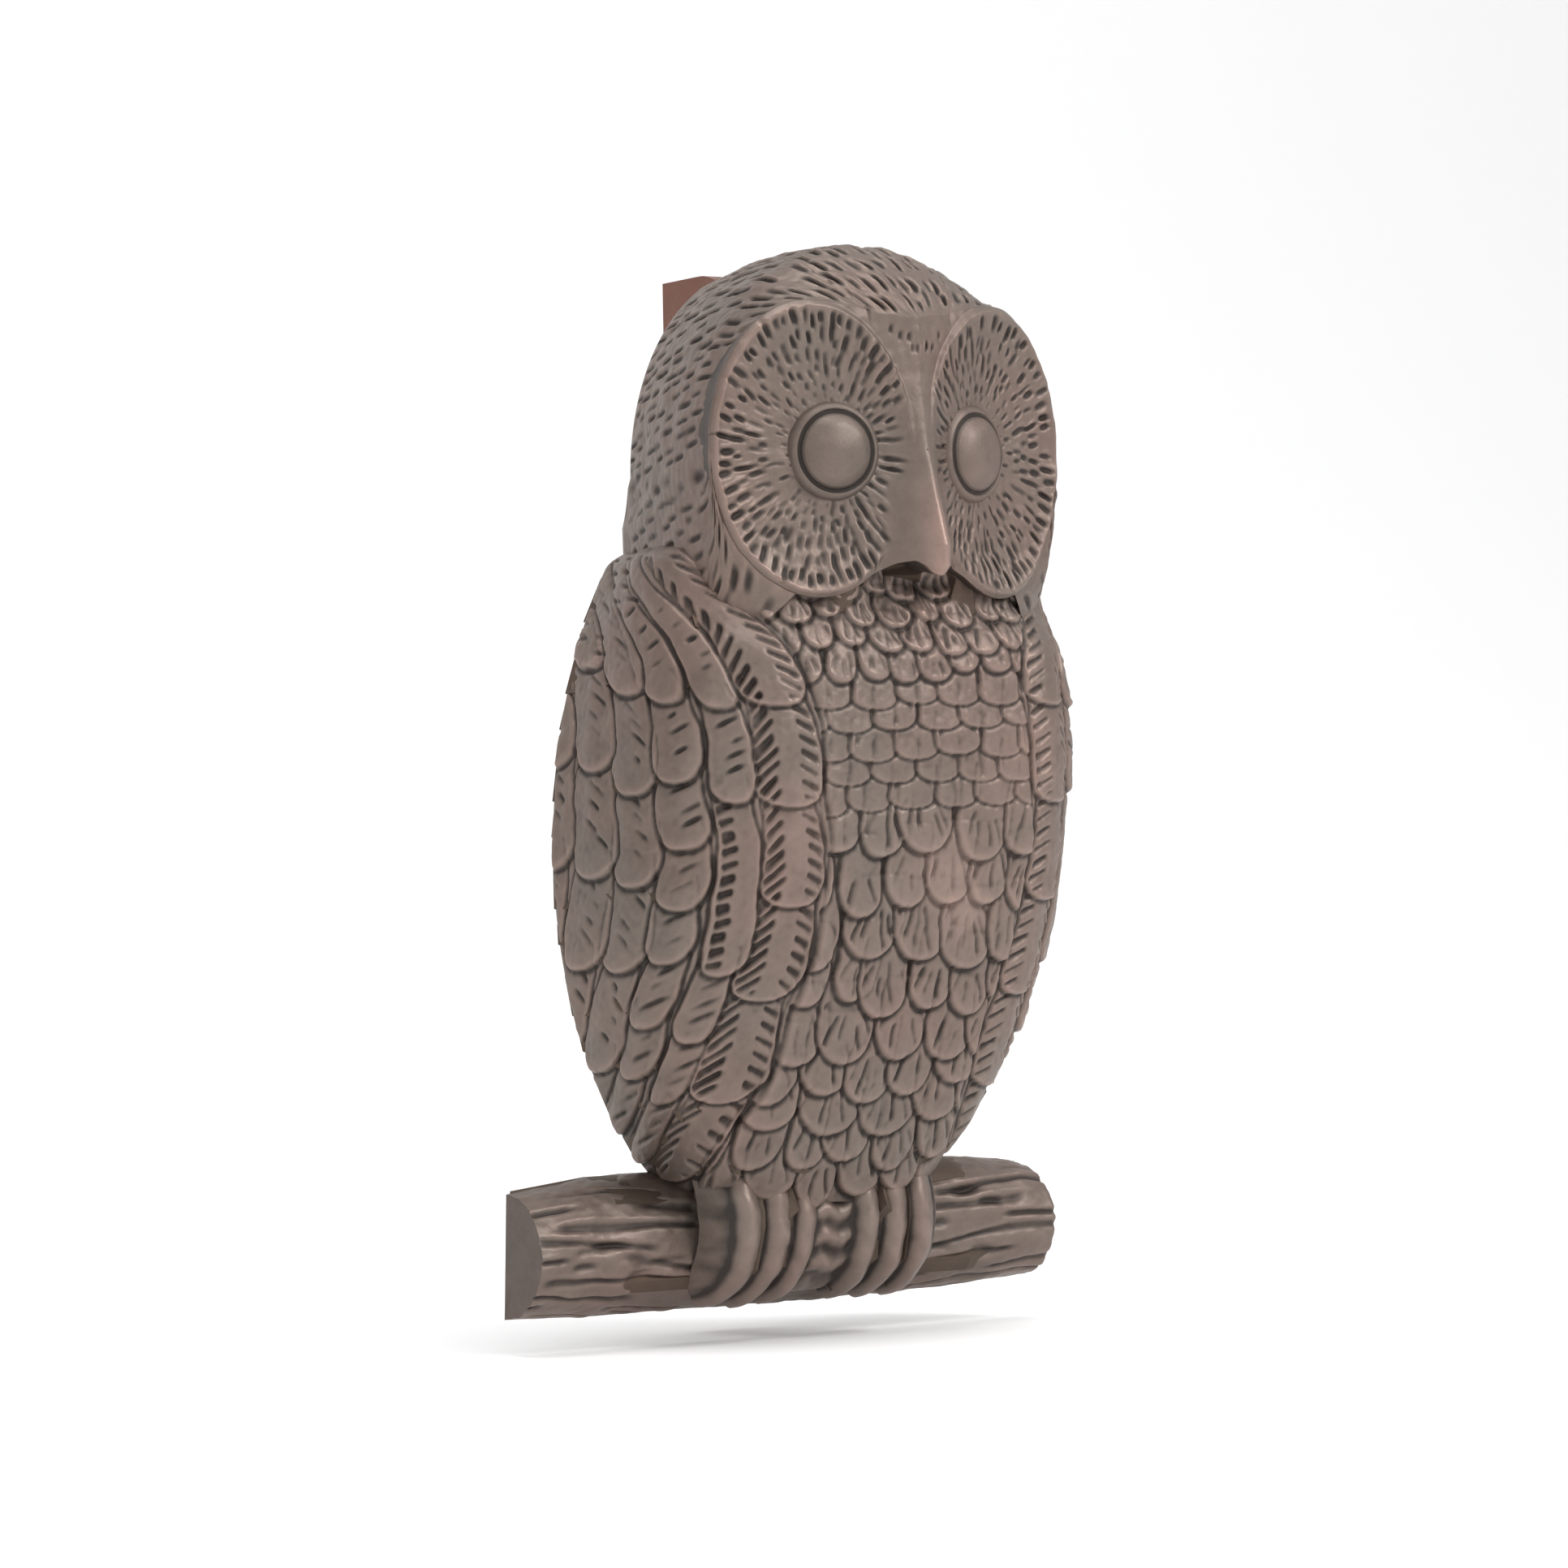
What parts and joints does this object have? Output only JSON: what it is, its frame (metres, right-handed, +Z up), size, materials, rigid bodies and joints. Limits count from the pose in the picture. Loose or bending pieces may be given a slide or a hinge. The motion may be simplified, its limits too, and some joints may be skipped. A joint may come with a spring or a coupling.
{
  "type": "owl door knocker",
  "caption": "Bronze owl on a branch, a hollow-backed relief casting that hinges on a slim back plate and knocks on a button.",
  "frame": {"origin": "on the door plane, midway between the two door screw holes", "axes": "+X to the viewer's right, +Z up, -Y out from the door, the way the owl faces"},
  "size_m": [0.117, 0.0736, 0.19],
  "materials": {
    "owl_bronze": "oiled brown patina, rubbed coppery on the high spots",
    "plate_bronze": "smooth dark reddish-brown patina",
    "knock_bronze": "bare bronze, polished where it strikes",
    "bearing_brass": "machined, lightly oiled",
    "lug_brass": "machined, dulled",
    "pin_steel": "satin",
    "clip_steel": "blackened spring steel"
  },
  "bodies": {
    "bracket": {"back_plate": "plate_bronze", "strike_button": "knock_bronze", "hinge_pin": "pin_steel", "thrust_washers": "bearing_brass", "pin_clip": "clip_steel"},
    "owl": {"owl_casting": "owl_bronze", "hinge_lug": "lug_brass", "lug_bush": "bearing_brass", "lug_screws": "pin_steel", "striker": "knock_bronze", "lock_nut": "lug_brass"}
  },
  "joints": [
    {"name": "owl_swing", "type": "hinge", "parent": "bracket", "child": "owl", "pos_m": [0, -0.012, 0.086], "axis": [-1, 0, 0], "range_deg": [0, 60]}
  ]
}
